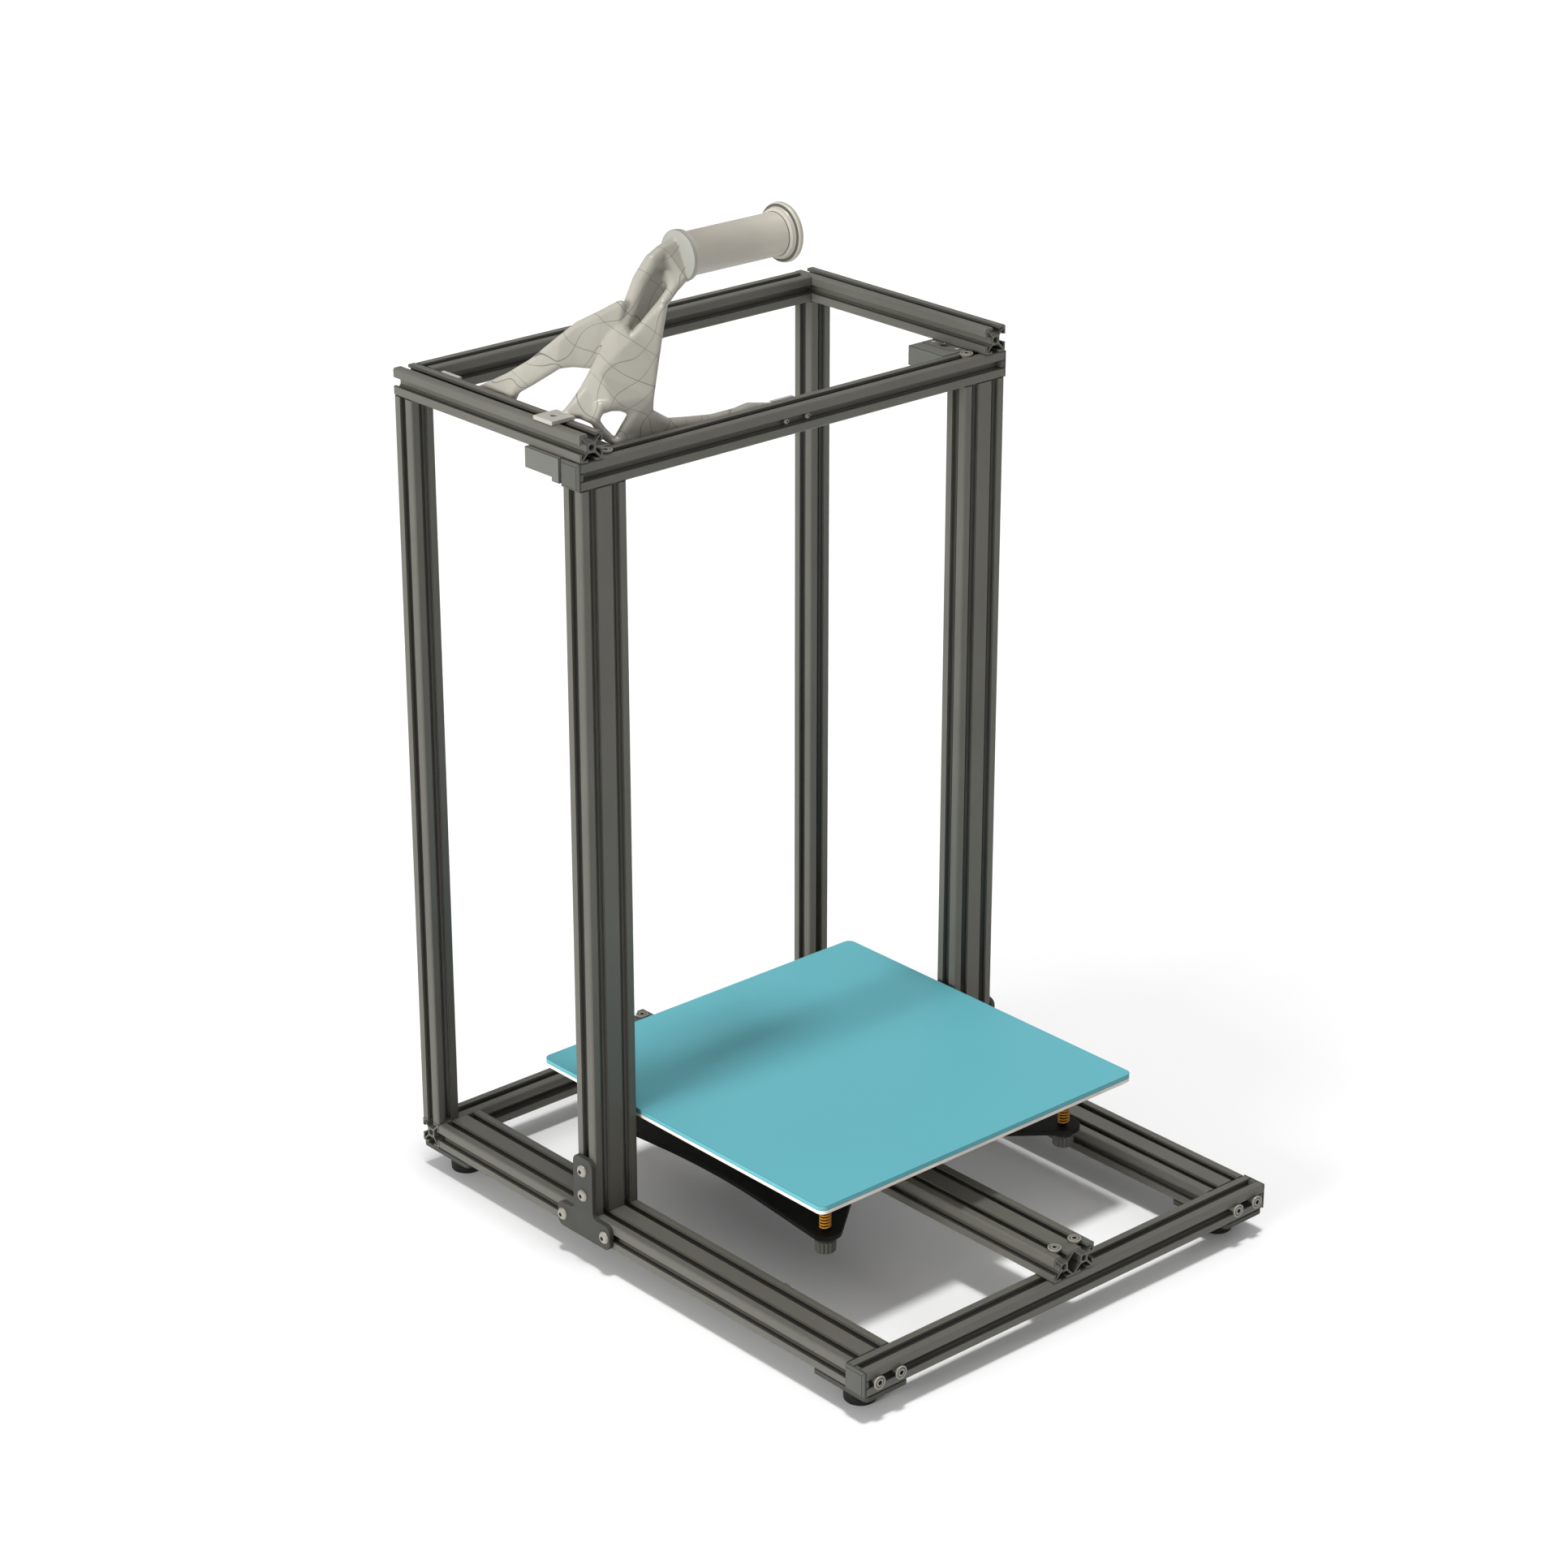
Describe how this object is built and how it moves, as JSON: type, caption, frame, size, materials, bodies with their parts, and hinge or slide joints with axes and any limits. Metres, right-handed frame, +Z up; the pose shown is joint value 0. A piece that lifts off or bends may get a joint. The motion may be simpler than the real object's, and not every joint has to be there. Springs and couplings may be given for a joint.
{
  "type": "fdm printer frame with print bed",
  "caption": "Open aluminium frame of a desktop 3-D printer with a sliding, levelled glass print bed and a spool holder arm on top.",
  "frame": {"origin": "centre of the bounding box's bottom, on the surface that the rubber feet stand on", "axes": "+Z up, +Y from the front cross member to the back, +X to the right seen from the front"},
  "size_m": [0.413, 0.5032, 0.7485],
  "materials": {
    "extrusion": "dark grey satin anodised",
    "cap": "moulded",
    "plate": "dark grey satin",
    "rubber": "moulded",
    "screw": "plated",
    "bearing": "ground",
    "block": "moulded",
    "glass": "toughened, tinted blue-green",
    "heater": "milled",
    "carriage": "black powder coat",
    "spring": "ochre coated wire",
    "knob": "moulded",
    "wheel": "moulded",
    "spool": "printed, smooth"
  },
  "bodies": {
    "frame": {"base_front_beam": "extrusion", "base_rear_beam": "extrusion", "bed_rail": "extrusion", "top_front_beam": "extrusion", "top_rear_beam": "extrusion", "base_left_beam": "extrusion", "front_left_upright": "extrusion", "rear_left_upright": "extrusion", "top_left_beam": "extrusion", "base_right_beam": "extrusion", "front_right_upright": "extrusion", "rear_right_upright": "extrusion", "top_right_beam": "extrusion", "base_left_end_cap": "cap", "base_right_end_cap": "cap", "top_left_end_cap": "cap", "top_right_end_cap": "cap", "front_left_foot_plate": "plate", "front_left_foot": "rubber", "front_right_foot_plate": "plate", "front_right_foot": "rubber", "rear_left_foot_plate": "plate", "rear_left_foot": "rubber", "rear_right_foot_plate": "plate", "rear_right_foot": "rubber", "left_t_plate": "plate", "left_t_plate_screw": "screw", "left_bearing_block": "block", "left_bearing_flange": "bearing", "right_t_plate": "plate", "right_t_plate_screw": "screw", "right_bearing_block": "block", "right_bearing_flange": "bearing", "front_beam_screw_1": "screw", "front_beam_screw_2": "screw", "front_beam_screw_3": "screw", "front_beam_screw_4": "screw", "spool_bracket": "spool", "spool_tube": "spool"},
    "carriage": {"carriage_plate": "carriage", "front_left_spring": "spring", "front_left_wheel_axle": "screw", "front_right_spring": "spring", "front_right_wheel_axle": "screw", "rear_left_spring": "spring", "rear_left_wheel_axle": "screw", "rear_right_spring": "spring", "rear_right_wheel_axle": "screw"},
    "bed": {"glass_plate": "glass", "heated_plate": "heater"},
    "front_left_wheel": {"front_left_wheel": "wheel"},
    "front_left_knob": {"front_left_levelling_knob": "knob"},
    "front_right_wheel": {"front_right_wheel": "wheel"},
    "front_right_knob": {"front_right_levelling_knob": "knob"},
    "rear_left_wheel": {"rear_left_wheel": "wheel"},
    "rear_left_knob": {"rear_left_levelling_knob": "knob"},
    "rear_right_wheel": {"rear_right_wheel": "wheel"},
    "rear_right_knob": {"rear_right_levelling_knob": "knob"},
    "left_race": {"left_bearing_inner_race": "bearing"},
    "right_race": {"right_bearing_inner_race": "bearing"}
  },
  "joints": [
    {"name": "bed_slide", "type": "slide", "parent": "frame", "child": "carriage", "axis": [0, 1, 0], "range_m": [-0.15, 0.15]},
    {"name": "bed_level", "type": "slide", "parent": "carriage", "child": "bed", "axis": [0, 0, 1], "range_m": [-0.0028, 0], "deforming": ["front_left_spring", "front_right_spring", "rear_left_spring", "rear_right_spring"]},
    {"name": "front_left_wheel_spin", "type": "hinge", "parent": "carriage", "child": "front_left_wheel", "pos_m": [-0.0315, -0.05337, 0.05], "axis": [0, 0, 1], "range_deg": [-750, 750]},
    {"name": "front_right_wheel_spin", "type": "hinge", "parent": "carriage", "child": "front_right_wheel", "pos_m": [0.0315, -0.05337, 0.05], "axis": [0, 0, 1], "range_deg": [-750, 750]},
    {"name": "rear_left_wheel_spin", "type": "hinge", "parent": "carriage", "child": "rear_left_wheel", "pos_m": [-0.0315, 0.05663, 0.05], "axis": [0, 0, 1], "range_deg": [-750, 750]},
    {"name": "rear_right_wheel_spin", "type": "hinge", "parent": "carriage", "child": "rear_right_wheel", "pos_m": [0.0315, 0.05663, 0.05], "axis": [0, 0, 1], "range_deg": [-750, 750]},
    {"name": "front_left_knob_turn", "type": "hinge", "parent": "carriage", "child": "front_left_knob", "pos_m": [-0.12, -0.11837, 0.053], "axis": [0, 0, 1], "range_deg": [0, 1441]},
    {"name": "front_right_knob_turn", "type": "hinge", "parent": "carriage", "child": "front_right_knob", "pos_m": [0.12, -0.11837, 0.053], "axis": [0, 0, 1], "range_deg": [0, 1441]},
    {"name": "rear_left_knob_turn", "type": "hinge", "parent": "carriage", "child": "rear_left_knob", "pos_m": [-0.12, 0.12162, 0.053], "axis": [0, 0, 1], "range_deg": [0, 1441]},
    {"name": "rear_right_knob_turn", "type": "hinge", "parent": "carriage", "child": "rear_right_knob", "pos_m": [0.12, 0.12162, 0.053], "axis": [0, 0, 1], "range_deg": [0, 1441]},
    {"name": "left_race_spin", "type": "hinge", "parent": "frame", "child": "left_race", "pos_m": [-0.1775, 0.08163, 0.612], "axis": [0, 0, 1], "continuous": true},
    {"name": "right_race_spin", "type": "hinge", "parent": "frame", "child": "right_race", "pos_m": [0.1775, 0.08163, 0.612], "axis": [0, 0, 1], "continuous": true}
  ],
  "couplings": [
    {"joint": "front_left_wheel_spin", "follows": "bed_slide", "rad_per_m": -86.957},
    {"joint": "front_right_wheel_spin", "follows": "bed_slide", "rad_per_m": 86.957},
    {"joint": "rear_left_wheel_spin", "follows": "bed_slide", "rad_per_m": -86.957},
    {"joint": "rear_right_wheel_spin", "follows": "bed_slide", "rad_per_m": 86.957},
    {"joint": "front_left_knob_turn", "follows": "bed_level", "rad_per_m": -8976},
    {"joint": "front_right_knob_turn", "follows": "bed_level", "rad_per_m": -8976},
    {"joint": "rear_left_knob_turn", "follows": "bed_level", "rad_per_m": -8976},
    {"joint": "rear_right_knob_turn", "follows": "bed_level", "rad_per_m": -8976}
  ]
}
